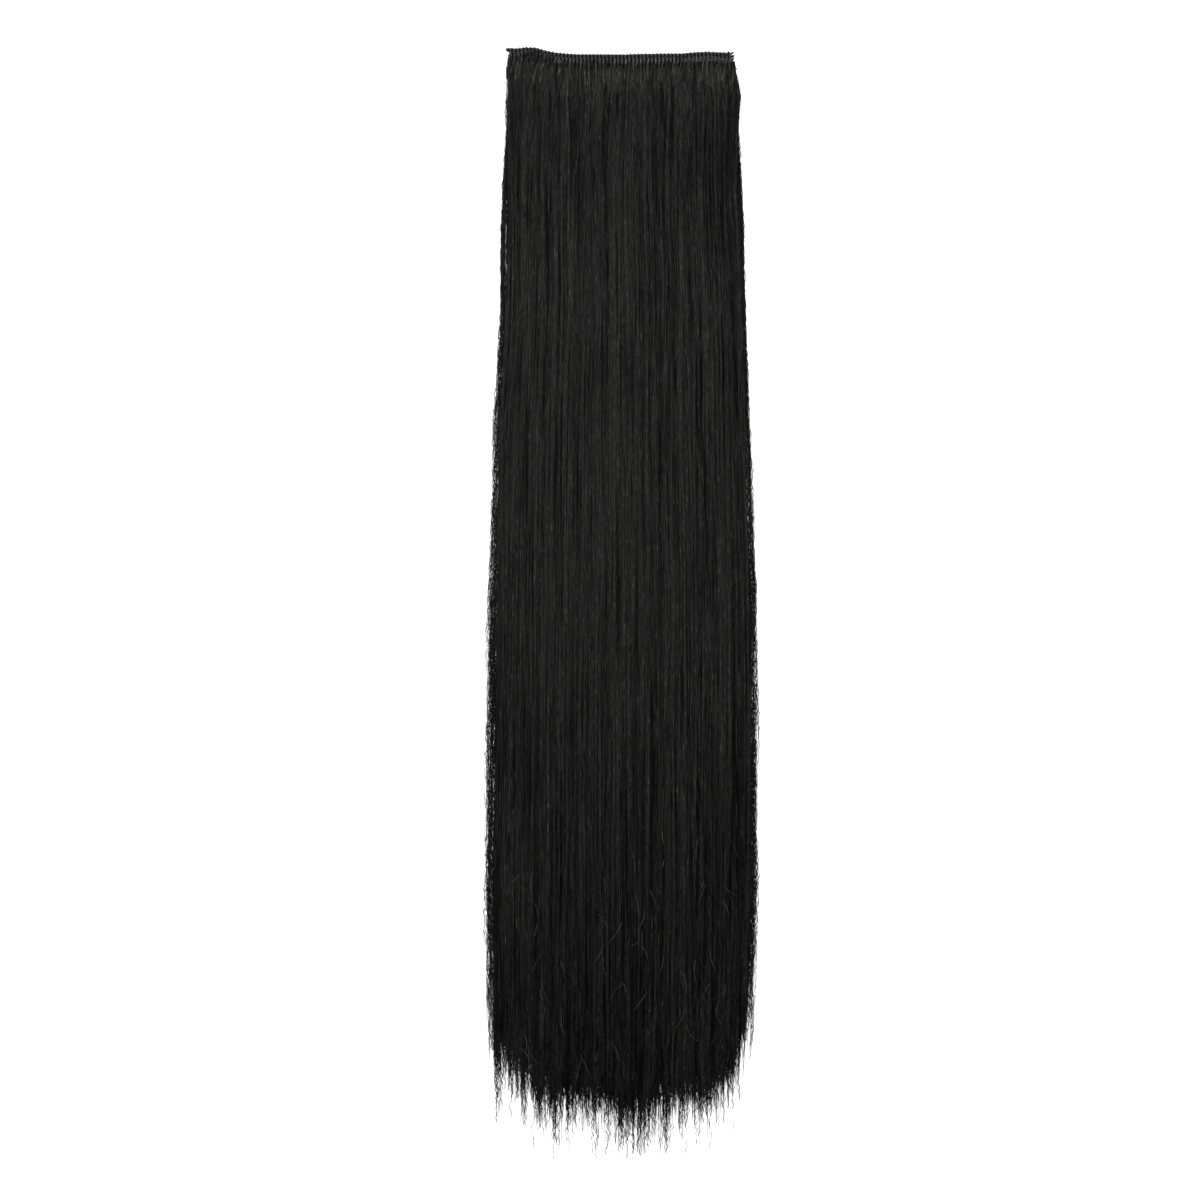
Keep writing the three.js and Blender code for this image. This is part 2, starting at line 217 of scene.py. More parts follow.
# %% Camera straight above
view_width = 648.0
view_centre = (-11.9, 1.4)
camera_height = 2200.0
sensor = 36.0
camera_data = bpy.data.cameras.new("camera_above")
camera_data.sensor_width = sensor
camera_data.lens = sensor * (camera_height - hair_depth) / view_width
camera_data.clip_start, camera_data.clip_end = 0.05, 20.0
camera = add_object("camera_above", camera_data)
camera.location = (view_centre[0] * mm, view_centre[1] * mm, camera_height * mm)
bpy.context.scene.camera = camera
print("lens:", round(camera_data.lens, 1), "mm")

# %% [markdown]
# ## Materials
#
# Black hair isn't black paint. Each fibre has a dark pigment under a clear scale layer, so most of
# what the eye sees is a soft gloss that runs along the fibres. A Principled shader with a nearly
# black base and a low specular level gives that. The base follows an attribute named tone, which
# each strand carries, so that neighbouring strands differ a little, as dyed fibres do. The tone also
# carries painted sheen near the head, painted shade towards the tips and in the grooves, and painted
# highlights on the bent hairs; a noise drawn out along the hair adds painted glints.


# %% Helpers for node trees
def new_material(name, specular=0.5, roughness=0.5):
    material = bpy.data.materials.new(name)
    material.use_nodes = True
    tree = material.node_tree
    shader = tree.nodes["Principled BSDF"]
    shader.inputs["Specular IOR Level"].default_value = specular
    shader.inputs["Roughness"].default_value = roughness
    return material, tree, shader


def node(tree, kind, **settings):
    made = tree.nodes.new(kind)
    for key, value in settings.items():
        setattr(made, key, value)
    return made


def maths(tree, operation, *terms):
    """A math node's result. Each term is a number or another node's output."""
    made = node(tree, "ShaderNodeMath", operation=operation)
    for socket, term in zip(made.inputs, terms):
        if isinstance(term, (int, float)):
            socket.default_value = term
        else:
            tree.links.new(term, socket)
    return made.outputs[0]


def map_range(tree, value, low, high, start=0.0, end=1.0):
    """A value that goes from low to high while the given one goes from start to end."""
    made = node(tree, "ShaderNodeMapRange")
    for label, number in (("From Min", start), ("From Max", end), ("To Min", low), ("To Max", high)):
        made.inputs[label].default_value = number
    tree.links.new(value, made.inputs["Value"])
    return made.outputs["Result"]


def relief(tree, shader, height, strength, distance):
    bump = node(tree, "ShaderNodeBump")
    bump.inputs["Strength"].default_value = strength
    bump.inputs["Distance"].default_value = distance
    tree.links.new(height, bump.inputs["Height"])
    tree.links.new(bump.outputs["Normal"], shader.inputs["Normal"])


def paint_by(tree, shader, factor, stops):
    """Colours a shader by a factor. stops: (place, colour) pairs."""
    made = node(tree, "ShaderNodeValToRGB")
    while len(made.color_ramp.elements) < len(stops):
        made.color_ramp.elements.new(0.5)
    for element, (place, colour) in zip(made.color_ramp.elements, stops):
        element.position = place
        element.color = (*colour, 1)
    tree.links.new(factor, made.inputs["Fac"])
    tree.links.new(made.outputs["Color"], shader.inputs["Base Color"])


def streaks(tree, across_scale, along_scale, detail=3.0):
    """Noise on Object coordinates, drawn out along the hair."""
    place = node(tree, "ShaderNodeTexCoord")
    mapping = node(tree, "ShaderNodeMapping")
    mapping.inputs["Scale"].default_value = (across_scale, along_scale, across_scale)
    noise = node(tree, "ShaderNodeTexNoise")
    noise.inputs["Scale"].default_value = 1.0
    noise.inputs["Detail"].default_value = detail
    tree.links.new(place.outputs["Object"], mapping.inputs["Vector"])
    tree.links.new(mapping.outputs["Vector"], noise.inputs["Vector"])
    return noise.outputs["Fac"]


# %% The hair fibre
hair_fibre, tree, shader = new_material("hair_fibre", 0.08)
tone = node(tree, "ShaderNodeAttribute", attribute_name="tone").outputs["Fac"]
# A noise drawn out along the hair is added to the tone: painted glints. The ramp's lightest stops
# are reached only by painted highlights, painted sheen and painted glints.
painted_glints = maths(tree, "MULTIPLY_ADD", streaks(tree, 1500, 260, 1), 0.55, -0.275)
paint_by(tree, shader, maths(tree, "ADD", tone, painted_glints), [
    (0.0, (0.001, 0.001, 0.001)), (0.45, (0.0067, 0.0066, 0.0065)),
    (0.65, (0.0158, 0.0155, 0.0152)), (0.8, (0.0255, 0.0250, 0.0245)),
    (0.93, (0.038, 0.037, 0.036)), (1.0, (0.098, 0.095, 0.093)),
])
gloss = map_range(tree, streaks(tree, 900, 14), 0.36, 0.52)
tree.links.new(gloss, shader.inputs["Roughness"])
print(hair_fibre.name, len(tree.nodes), "nodes")

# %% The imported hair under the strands
packed_hair, tree, shader = new_material("packed_hair", 0.18)
grain = streaks(tree, 1400, 9, 5)
paint_by(tree, shader, grain, [
    (0.35, (0.002, 0.002, 0.002)), (0.65, (0.008, 0.0076, 0.0075)),
])
relief(tree, shader, grain, 0.6, 0.0003)
print(packed_hair.name, len(tree.nodes), "nodes")

# %% The fold behind the stitches
shaded_fold, tree, shader = new_material("shaded_fold", 0.06, 0.75)
paint_by(tree, shader, streaks(tree, 1500, 200, 4), [
    (0.3, (0.0015, 0.0015, 0.0015)), (0.7, (0.008, 0.0078, 0.0077)),
])
print(shaded_fold.name, len(tree.nodes), "nodes")

# %% The sewing thread
sewing_thread, tree, shader = new_material("sewing_thread", 0.3, 0.55)
twist = streaks(tree, 2600, 2600, 2)
paint_by(tree, shader, twist, [(0.3, (0.022, 0.022, 0.0225)), (0.7, (0.075, 0.073, 0.073))])
relief(tree, shader, twist, 0.5, 0.0002)
print(sewing_thread.name, len(tree.nodes), "nodes")

# %% The enamel of the clips
clip_enamel, tree, shader = new_material("clip_enamel")
specks = streaks(tree, 700, 700, 4)
paint_by(tree, shader, specks, [
    (0.0, (0.008, 0.008, 0.009)), (0.68, (0.011, 0.011, 0.012)), (0.78, (0.035, 0.034, 0.033)),
])
tree.links.new(map_range(tree, specks, 0.22, 0.42), shader.inputs["Roughness"])
shader.inputs["Coat Weight"].default_value = 0.4
shader.inputs["Coat Roughness"].default_value = 0.15
for clip in ("clip_left", "clip_right"):
    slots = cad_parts[clip].data.materials
    slots.clear()
    slots.append(clip_enamel)
print(clip_enamel.name, len(tree.nodes), "nodes")

# %% [markdown]
# ## Tubes along paths
#
# Everything on a weft is a thin round thing that follows a path: hair, thread, stitches. So the
# script first lays the paths out as plain polylines, with a thickness and a tone at each point, and
# one Geometry Nodes tree turns any set of paths into closed tubes: Mesh to Curve, a radius from the
# thickness, a small ring swept along, and caps at both ends.


# %% The tube tree
def new_tree(name, sizes):
    """An empty Geometry Nodes tree with a geometry in, a geometry out and named sizes."""
    made = bpy.data.node_groups.new(name, "GeometryNodeTree")
    face = made.interface
    face.new_socket("Geometry", in_out="INPUT", socket_type="NodeSocketGeometry")
    for label, (kind, value) in sizes.items():
        socket = face.new_socket(label, in_out="INPUT", socket_type="NodeSocket" + kind)
        if value is not None:
            socket.default_value = value
    face.new_socket("Geometry", in_out="OUTPUT", socket_type="NodeSocketGeometry")
    return made, node(made, "NodeGroupInput"), node(made, "NodeGroupOutput")


def chain(tree, first, *rest):
    """Links each node's geometry output to the next node's first geometry input."""
    for one, two in zip((first, *rest), rest):
        tree.links.new(one.outputs[0], two.inputs[0])


tube_tree, given, result = new_tree("tubes_on_paths", {
    "Sides": ("Int", 3), "Thickness": ("Float", 0.0002), "Material": ("Material", None),
})
to_curve = node(tube_tree, "GeometryNodeMeshToCurve")
set_radius = node(tube_tree, "GeometryNodeSetCurveRadius")
thick = node(tube_tree, "GeometryNodeInputNamedAttribute", data_type="FLOAT")
thick.inputs["Name"].default_value = "thick"
width = maths(tube_tree, "MULTIPLY", thick.outputs[0], given.outputs["Thickness"])
ring = node(tube_tree, "GeometryNodeCurvePrimitiveCircle", mode="RADIUS")
ring.inputs["Radius"].default_value = 1.0
sweep = node(tube_tree, "GeometryNodeCurveToMesh")
sweep.inputs["Fill Caps"].default_value = True
smooth = node(tube_tree, "GeometryNodeSetShadeSmooth")
realize = node(tube_tree, "GeometryNodeRealizeInstances")
paint = node(tube_tree, "GeometryNodeSetMaterial")
chain(tube_tree, given, to_curve, set_radius, sweep, smooth, realize, paint, result)
link = tube_tree.links.new
link(given.outputs["Sides"], ring.inputs["Resolution"])
link(ring.outputs[0], sweep.inputs["Profile Curve"])
link(width, set_radius.inputs["Radius"])
if "Scale" in sweep.inputs:
    link(width, sweep.inputs["Scale"])
link(given.outputs["Material"], paint.inputs["Material"])
print(tube_tree.name, len(tube_tree.nodes), "nodes")


# %% From paths to one finished piece
def set_inputs(modifier, **values):
    """Sets a modifier's named inputs by their sockets' identifiers."""
    for item in modifier.node_group.interface.items_tree:
        if item.item_type == "SOCKET" and item.in_out == "INPUT" and item.name in values:
            modifier[item.identifier] = values[item.name]


def bake_nodes(name, mesh, tree, **values):
    """Runs a tree on a mesh and keeps the result as a plain mesh object."""
    source = add_object(name + "_paths", mesh)
    modifier = source.modifiers.new("nodes", "NODES")
    modifier.node_group = tree
    set_inputs(modifier, **values)
    ready = source.evaluated_get(bpy.context.evaluated_depsgraph_get())
    solid = bpy.data.meshes.new_from_object(ready)
    source.modifiers.clear()
    bpy.data.objects.remove(source)
    solid.name = name
    return add_object(name, solid)


def finish_piece(piece, node_name):
    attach(piece, "root")
    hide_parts(node_name)
    faces = sum(len(p.vertices) - 2 for p in piece.data.polygons)
    print(piece.name, faces, "triangles")
    return piece


def path_mesh(points, thick, tone):
    """Polylines as a mesh. points: paths x rows x 3, in millimetres."""
    paths, rows = points.shape[:2]
    mesh = bpy.data.meshes.new("paths")
    first = np.arange(paths * rows).reshape(paths, rows)
    edges = np.stack([first[:, :-1].ravel(), first[:, 1:].ravel()], 1)
    mesh.vertices.add(paths * rows)
    mesh.vertices.foreach_set("co", (points * mm).astype(np.float32).ravel())
    mesh.edges.add(len(edges))
    mesh.edges.foreach_set("vertices", edges.astype(np.int32).ravel())
    for label, values in (("thick", thick), ("tone", tone)):
        layer = mesh.attributes.new(label, "FLOAT", "POINT")
        values = np.broadcast_to(values, (paths, rows)).astype(np.float32)
        layer.data.foreach_set("value", values.ravel())
    mesh.update()
    return mesh


def tubes(name, points, radius, tone, material, sides=3, taper=None):
    """A piece of closed tubes. radius in millimetres, taper: one share of it for each row."""
    thick = radius if taper is None else radius * taper
    mesh = path_mesh(points, thick, tone)
    return bake_nodes(name, mesh, tube_tree, Sides=sides, Thickness=mm, Material=material)


def strands(name, x, drop, z, radius, tone, taper, node_name="front_hair"):
    """A finished piece of hair. x, drop and z: strands x rows."""
    paths = np.stack([x, head_top - drop, z], 2)
    piece = tubes(name, paths, radius, tone, hair_fibre, taper=taper)
    return finish_piece(piece, node_name)


def skin(name, points, faces, material):
    """A smooth closed skin. points: in millimetres."""
    mesh = bpy.data.meshes.new(name)
    mesh.from_pydata((points * mm).reshape(-1, 3).tolist(), [], faces)
    mesh.polygons.foreach_set("use_smooth", [True] * len(mesh.polygons))
    mesh.materials.append(material)
    return add_object(name, mesh)


# %% [markdown]
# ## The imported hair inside
#
# A weft of hair holds tens of thousands of fibres. Only the outer ones are seen one by one; the rest
# pack into a dense body. That body is a grooved closed skin for each layer, a little inside the
# outer strands, so that no light falls through to the table. Its grooves wander slowly, as combed
# hair does, and its far end is cut ragged and thin.

# %% Slow random waves
rng = np.random.default_rng(20)


def sway(count, drop, shortest, longest):
    """A slow wave for each of count paths, between -1 and 1, read at each drop."""
    total = 0.0
    for share in (0.6, 0.4):
        length = rng.uniform(shortest, longest, (count, 1))
        phase = rng.uniform(0, 2 * math.pi, (count, 1))
        total = total + share * np.sin(2 * math.pi * drop / length + phase)
    return total


# %% The dense bodies of both layers
body_inset = 1.0  # how far the dense body stays inside the strands at both sides (mm)
thinnest = 0.15


def smoothed(values, reach, weight):
    """Each value plus its neighbours within reach, times a weight."""
    padded = np.pad(values, reach, mode="edge")
    return np.convolve(padded, np.ones(2 * reach + 1) / weight, "valid")


def dense_body(name, columns, rows, start, end_short, upper_of, lower_of, node_name):
    """A closed grooved skin. upper_of and lower_of give its two sides at (across, drop)."""
    across = np.linspace(-1, 1, columns)
    ragged = smoothed(rng.normal(0, 5.0, columns), 3, 2.6)
    last = read(tip_line, 1, across) * fall_length - end_short + ragged
    share = np.linspace(0, 1, rows)[:, None]
    first = start + edge_dip(across)
    drop = first + (last - first) * share
    ridge = np.zeros_like(drop)
    for width in (1.3, 2.9):
        phase = rng.uniform(0, 2 * math.pi)
        bend = sway(columns, drop.T, 150, 400).T
        bend = np.array([smoothed(row, 8, 17) for row in bend])
        ridge += 0.5 * np.sin(2 * math.pi * across * half_fall / width + 3.0 * bend + phase)
    x = side_to_side(across * (1 - (frayed(across, drop) + body_inset) / half_fall), drop)
    upper = upper_of(across, drop) + 0.16 * ridge
    lower = lower_of(across, drop) - 0.10 * ridge
    lower = np.maximum(np.minimum(lower, upper - thinnest), 0.05)
    upper = np.maximum(upper, lower + thinnest)
    y = head_top - drop
    ring = np.concatenate([np.stack([x, y, upper], 2), np.stack([x, y, lower], 2)[:, ::-1]], 1)
    size = 2 * columns
    ids = np.arange(rows * size).reshape(rows, size)
    a, b = ids[:-1], np.roll(ids[:-1], -1, 1)
    c, d = np.roll(ids[1:], -1, 1), ids[1:]
    quads = np.stack([a, b, c, d], 2).reshape(-1, 4)
    caps = []
    for row, turn in ((0, 1), (rows - 1, -1)):
        top, low = ids[row, :columns], ids[row, columns:][::-1]
        cap = np.stack([top[:-1], low[:-1], low[1:], top[1:]], 1)
        caps.append(cap[:, ::turn])
    faces = np.concatenate([quads[:, ::-1], *[cap[:, ::-1] for cap in caps]])
    return finish_piece(skin(name, ring, faces.tolist(), packed_hair), node_name)


strand_cover = 0.75  # thickness of the strands that lie over the dense body
layer_gap = 0.25


def under_strands(across, drop):
    top, parting, _ = heights(across, drop)
    return np.maximum(top - strand_cover, parting + 0.4)


dense_body(
    "front_hair_body", 260, 70, 3.0, 20.0,
    under_strands, lambda across, drop: heights(across, drop)[1] + layer_gap, "front_hair",
)
dense_body(
    "back_hair_body", 200, 60, back_drop + 3.0 - head_sag, 46.0,
    lambda across, drop: heights(across, drop)[1] - layer_gap,
    lambda across, drop: heights(across, drop)[2] + 0.5, "back_hair",
)

# %% [markdown]
# ## The combed strands
#
# Combed hair gathers in flat locks one or two millimetres wide. A lock wanders a little to each side
# and dips under its neighbours and comes up again, which is what gives straight hair its streaks;
# strands sunk in a groove are also painted darker, as painted shade, and strands on a crest lighter,
# as painted light.
# Each strand belongs to a lock and adds a small sway of its own. The strands are laid out with
# arrays, since each follows the tables above, and the tube tree gives them their thickness. The
# lengths that run from the sewn head to the tips come first.

# %% Locks and tufts
lock_width = 2.1
lock_count = int(2 * half_fall / lock_width) + 6
lock_phase = rng.uniform(0, 2 * math.pi, (lock_count, 4))
lock_length = rng.uniform(80, 280, (lock_count, 4))
lock_lean = rng.normal(0, 1.1, lock_count)
lock_gather = rng.uniform(0.5, 1.0, lock_count)
lock_tone = rng.normal(0, 0.03, lock_count)
tuft_count = 92
tuft_middles = np.linspace(-1, 1, tuft_count)
tuft_middles = tuft_middles + rng.uniform(-0.45, 0.45, tuft_count) * 2 / tuft_count
own_shift, shared_shift = rng.normal(0, 4.5, tuft_count), rng.normal(0, 5.0, tuft_count + 3)
tuft_shift = own_shift + np.convolve(shared_shift, np.ones(4) / 4, "valid")


def lock_wave(number, drop, first):
    """The slow wave of each strand's lock, between -1 and 1."""
    waves = [
        np.sin(2 * math.pi * drop / lock_length[number, k, None] + lock_phase[number, k, None])
        for k in (first, first + 1)
    ]
    return sum(waves) / 2


def tuft_of(across):
    """The number of the tuft that each place joins at the tips."""
    return np.abs(across[:, None] - tuft_middles).argmin(1)


def tip_ends(across, tail=6.0, early=0.35, single=0.3):
    """The drop where each strand ends: most near the tip line, some sooner, a few past it."""
    line = read(tip_line, 1, across) * fall_length
    number = tuft_of(across)
    off = (across - tuft_middles[number]) * half_fall / 0.9
    shift = np.where(rng.random(len(across)) < single, 2.0, tuft_shift[number] - 3.0 * off**2 + 2.0)
    ends = line - 12.0 + rng.exponential(tail, len(across)) + shift
    sooner = rng.random(len(across)) < early
    ends = np.where(sooner, ends - rng.uniform(0, 170, len(across)), ends)
    return np.minimum(ends, fall_length - rng.uniform(0, 12, len(across)))


# %% Grooves that open and close between the locks
groove_pitch, groove_step = 0.62, 6.0
groove_columns = int(2.4 * half_fall / groove_pitch)
groove_steps = int(fall_length / groove_step) + 4
weave = rng.normal(0, 1, (groove_steps, groove_columns))
for row in range(1, groove_steps):
    weave[row] = 0.70 * weave[row - 1] + 0.71 * weave[row]


def weave_at(x, drop):
    """Above 0 in a groove, below 0 on a crest, read between the four nearest values."""
    u = np.clip(x / groove_pitch + groove_columns / 2, 0, groove_columns - 1.001)
    v = np.clip(drop / groove_step, 0, groove_steps - 1.001)
    i, j = u.astype(int), v.astype(int)
    u, v = u - i, v - j
    upper = weave[j, i] * (1 - u) + weave[j, i + 1] * u
    lower = weave[j + 1, i] * (1 - u) + weave[j + 1, i + 1] * u
    return upper * (1 - v) + lower * v


print("groove field:", weave.shape)

# %% Laying strands on the fall
lean_fade = 24.0  # drop over which a strand comes back from the lean of its root
gather_length = 55.0  # length over which the strands of a tuft draw together
lowest = 0.22  # least height of a strand's middle over the table
lightest = 0.86
strand_radius = 0.18


def lay(across, drop, depth, own_sway, gather=0.62):
    """X, Z and tone of strands. across: one place each. drop, depth, own_sway: strands x rows."""
    shift = rng.uniform(-0.3, 0.3, len(across))
    number = np.floor((across + 1) * half_fall / lock_width + shift).astype(int) + 1
    middle = (number - 0.5) * lock_width / half_fall - 1
    aside = (across - middle) * half_fall
    place = middle + aside / half_fall * lock_gather[number]
    inner = place[:, None] * (1 - frayed(place[:, None], drop) / half_fall)
    x = side_to_side(inner, drop) + 0.45 * lock_wave(number, drop, 0) + own_sway
    groove = weave_at(x, drop)
    sunk_and_shaded, raised_and_lit = np.clip(1.8 * (groove - 0.55), 0, 1.2), np.clip(-groove - 0.2, 0, 1.2)
    below = drop - (edge_dip(across) + band_height)[:, None]
    lean = read(root_lean, 1, across) + lock_lean[number]
    x = x + lean[:, None] * np.exp(-np.maximum(below, 0) / lean_fade)
    x = x + comb_wave(across[:, None], drop) * np.clip(below / 12, 0, 1)
    line = (read(tip_line, 1, across) * fall_length)[:, None]
    near_tip = np.clip((drop - line + gather_length) / gather_length, 0, 1.25) ** 2
    to_middle = (tuft_middles[tuft_of(across)] - across)[:, None]
    x = x + gather * np.minimum(near_tip, 1.2) * to_middle * half_fall
    top = heights(across_at(x, drop), drop)[0]
    round_off = 0.22 * np.clip(aside / (lock_width / 2), -1, 1)[:, None] ** 2
    rise = 0.5 * np.exp(-(((below - 12.0) / 16.0) ** 2))
    z = top - depth * np.clip(top / 3, 0.3, 1) + rise + 0.26 * lock_wave(number, drop, 2) - round_off
    z = z - 0.25 * sunk_and_shaded + 0.12 * raised_and_lit
    # The tone is a random tone for each lock plus painted sheen and shade along the fall, painted
    # shade on strands sunk in a groove and painted light on strands raised on a crest.
    tone = 0.70 + lock_tone[number][:, None] + read(painted_sheen_and_shade, 1, drop / fall_length)
    tone = tone - 1.15 * sunk_and_shaded + 0.15 * raised_and_lit
    return x, np.maximum(z, lowest), tone


def scattered(count, left, right):
    """Evenly scattered places across the fall, in a mixed order."""
    places = left + (right - left) * (np.arange(count) + rng.uniform(0, 1, count)) / count
    rng.shuffle(places)
    return places


def fibre_tones(tone):
    """Most fibres are alike, some are darker or lighter, and each has painted glints here and there.
    """
    count = len(tone)
    dark = rng.random((count, 1)) < 0.3
    own = np.where(dark, rng.uniform(-0.5, -0.1, (count, 1)), rng.normal(0.04, 0.08, (count, 1)))
    own = own + np.where(rng.random((count, 1)) < 0.15, rng.uniform(0.06, 0.2, (count, 1)), 0)
    return np.clip(tone + (own + rng.normal(0, 0.10, tone.shape)), 0, lightest)


def between(starts, ends, rows):
    return starts[:, None] + (ends - starts)[:, None] * rows


def tucked(z, drop, starts, pocket_z):
    """Z of strands that come out of the pocket of a band in their first few millimetres."""
    out = np.clip((drop - starts[:, None]) / 6.0, 0, 1)
    return z * out + (1 - out) * pocket_z


# %% Strands from the head to the tips
long_rows = np.array([
    0, 0.012, 0.035, 0.075, 0.14, 0.22, 0.31, 0.41, 0.51, 0.61, 0.71, 0.81, 0.9, 0.96, 1.0,
])
long_taper = np.array([0.7, *[1] * 10, 0.95, 0.8, 0.55, 0.12])
root_in_pocket = 1.6
for name, left, right, count in (
    ("front_hair_left", -1.0, 0.02, 1500), ("front_hair_right", -0.02, 1.0, 1500),
):
    across = scattered(count, left, right)
    ends = tip_ends(across)
    starts = band_height - root_in_pocket + edge_dip(across) + rng.uniform(-0.4, 0.4, count)
    drop = between(starts, ends, long_rows)
    depth = 0.9 * rng.uniform(0, 1, (count, 1)) ** 0.8
    x, z, tone = lay(across, drop, depth, 0.25 * sway(count, drop, 60, 200))
    z = tucked(z, drop, starts, front_band_high[2] - 0.6)
    tone = fibre_tones(tone - 0.05)
    radius = strand_radius * rng.uniform(0.8, 1.2, (count, 1))
    strands(name, x, drop, z, radius, tone, long_taper)

# %% [markdown]
# ## Lengths that come up for a while
#
# No strand stays on top from root to tip. It comes up from among the others, lies in the light for
# a few centimetres and goes under again, so the streaks on real hair are short. Thousands of short
# tubes with both ends sunk in the hair give that, for far fewer faces than whole strands would take.

# %% Short lengths on the upper side
short_rows = np.linspace(0, 1, 6)
short_taper = np.array([0.35, 0.9, 1, 1, 0.9, 0.35])
for name, left, right, count in (
    ("surface_hair_left", -1.0, -0.48, 4600), ("surface_hair_middle_left", -0.5, 0.02, 4600),
    ("surface_hair_middle_right", -0.02, 0.5, 4600), ("surface_hair_right", 0.48, 1.0, 4600),
):
    across = scattered(count, left, right)
    line = read(tip_line, 1, across) * fall_length
    reach = rng.uniform(9, 38, count)
    starts = rng.uniform(band_height + 3, line - reach - 12)
    drop = (starts[:, None] + reach[:, None] * short_rows) + edge_dip(across)[:, None] * 0.5
    skew = rng.normal(0, 1, count) * (0.012 + 0.080 * np.exp(-starts / 60))
    crossing = (skew * reach)[:, None] * (short_rows - 0.5)
    depth = 0.55 * rng.uniform(-0.15, 1, (count, 1)) + 0.5 * np.abs(2 * short_rows - 1) ** 3
    wander = crossing + 0.12 * sway(count, drop, 22, 90) + rng.normal(0, 0.06, drop.shape)
    x, z, tone = lay(across, drop, depth, wander)
    tone = fibre_tones(tone)
    radius = strand_radius * rng.uniform(0.7, 1.15, (count, 1))
    strands(name, x, drop, z, radius, tone, short_taper)

# %% [markdown]
# ## The feathered tips
#
# The hair was cut so that it thins out: each tuft ends in a few long fibres, and its neighbours end
# a little sooner. Short tapered strands, drawn together towards the middle of their tuft, make these
# points. Past them stand crinkled single ends, whose width varies as a flat fibre turns, so the
# table shows between them in small specks.

# %% Tips
tip_rows = np.array([0, 0.25, 0.45, 0.6, 0.72, 0.82, 0.91, 1.0])
tip_taper = np.array([0.5, 1, 1, 1, 1, 0.95, 0.85, 0.5])
tips_count = 3000
for name, left, right in (("hair_tips_left", -1.0, 0.0), ("hair_tips_right", 0.0, 1.0)):
    across = scattered(tips_count, left, right)
    ends = tip_ends(across, 5.5, 0.0, 0.45)
    starts = ends - rng.uniform(40, 105, tips_count)
    drop = between(starts, ends, tip_rows)
    depth = rng.uniform(0, 2.2, (tips_count, 1))
    crinkle = rng.normal(0, 0.26, drop.shape) * tip_rows
    bend = rng.normal(0, 0.7, (tips_count, 1)) * tip_rows**2
    x, z, tone = lay(across, drop, depth, bend + crinkle)
    tone = fibre_tones(tone)
    radius = strand_radius * rng.uniform(0.75, 1.2, (tips_count, 1))
    strands(name, x, drop, z, radius, tone, tip_taper)

# %% Crinkled ends past the points
end_rows = np.linspace(0, 1, 20)
end_taper = np.append(np.ones(18), [0.9, 0.6])
count = 900
for name, left, right in (("crinkled_ends_left", -1.0, 0.0), ("crinkled_ends_right", 0.0, 1.0)):
    across = scattered(count, left, right)
    line = read(tip_line, 1, across) * fall_length + tuft_shift[tuft_of(across)] + 2.0
    middle_hump = 8.0 * np.exp(-(((across - 0.1) / 0.2) ** 2))
    corner_hump = 6.0 * np.exp(-(((across + 0.95) / 0.1) ** 2))
    furthest = 8.0 + middle_hump + corner_hump
    past = np.where(rng.random(count) < 0.45, rng.uniform(-30, 0, count), rng.exponential(furthest))
    ends = np.minimum(line - 5 + past.clip(-30, 34), fall_length + 4 - rng.uniform(0, 10, count))
    reach = rng.uniform(24, 50, count)
    drop = (ends - reach)[:, None] + reach[:, None] * end_rows
    crinkle = rng.normal(0, 0.5, drop.shape)
    x, z, tone = lay(across, drop, rng.uniform(-0.2, 1.2, (count, 1)), crinkle, 0.3)
    tone = fibre_tones(tone)
    radius = strand_radius * rng.uniform(0.45, 1.5, drop.shape)
    strands(name, x, drop, z, radius, tone, end_taper)

# %% [markdown]
# ## The back weft's strands
#
# Nobody sees the back layer from above, but its strands show at both sides, from below and between
# the tips. They lie on the table, so no point of them may sink under it.

# %% Strands of the back layer
back_rows = np.linspace(0, 1, 10)
back_taper = np.array([0.7, 1, 1, 1, 1, 1, 1, 0.9, 0.6, 0.12])
back_count = 1700
across = scattered(back_count, -1.0, 1.0)
edge = rng.random(back_count) < 0.12
across = np.where(edge, np.sign(across) * (1 - 0.05 * rng.random(back_count)), across)
ends = tip_ends(across, 6.0, 0.4) - 18.0
starts = back_drop + band_height - root_in_pocket + rng.uniform(-0.4, 0.4, back_count)
drop = between(starts, ends, back_rows)
x, z, tone = lay(across, drop, 0.0, 0.4 * sway(back_count, drop, 60, 200))
top, _, low = heights(np.clip(across, -0.98, 0.98)[:, None], drop)
up = np.where(edge, rng.uniform(0, 0.8, back_count), 0.1 * rng.random(back_count))[:, None]
z = low + 0.25 + (top - low - 0.5) * up + 0.15 * sway(back_count, drop, 80, 200)
z = np.maximum(tucked(z, drop, starts, back_band_low[2] + 1.3), lowest)
tone = fibre_tones(tone - 0.1)
radius = strand_radius * rng.uniform(0.8, 1.2, (back_count, 1))
strands("back_hair_strands", x, drop, z, radius, tone, back_taper, node_name="back_hair")

# %% [markdown]
# ## Loose hairs
#
# A comb leaves some hairs behind: thin wavy ones beside the fall, and short bent ones across its
# lower third, which stand off the surface and are painted lighter than the rest, as painted
# highlight.

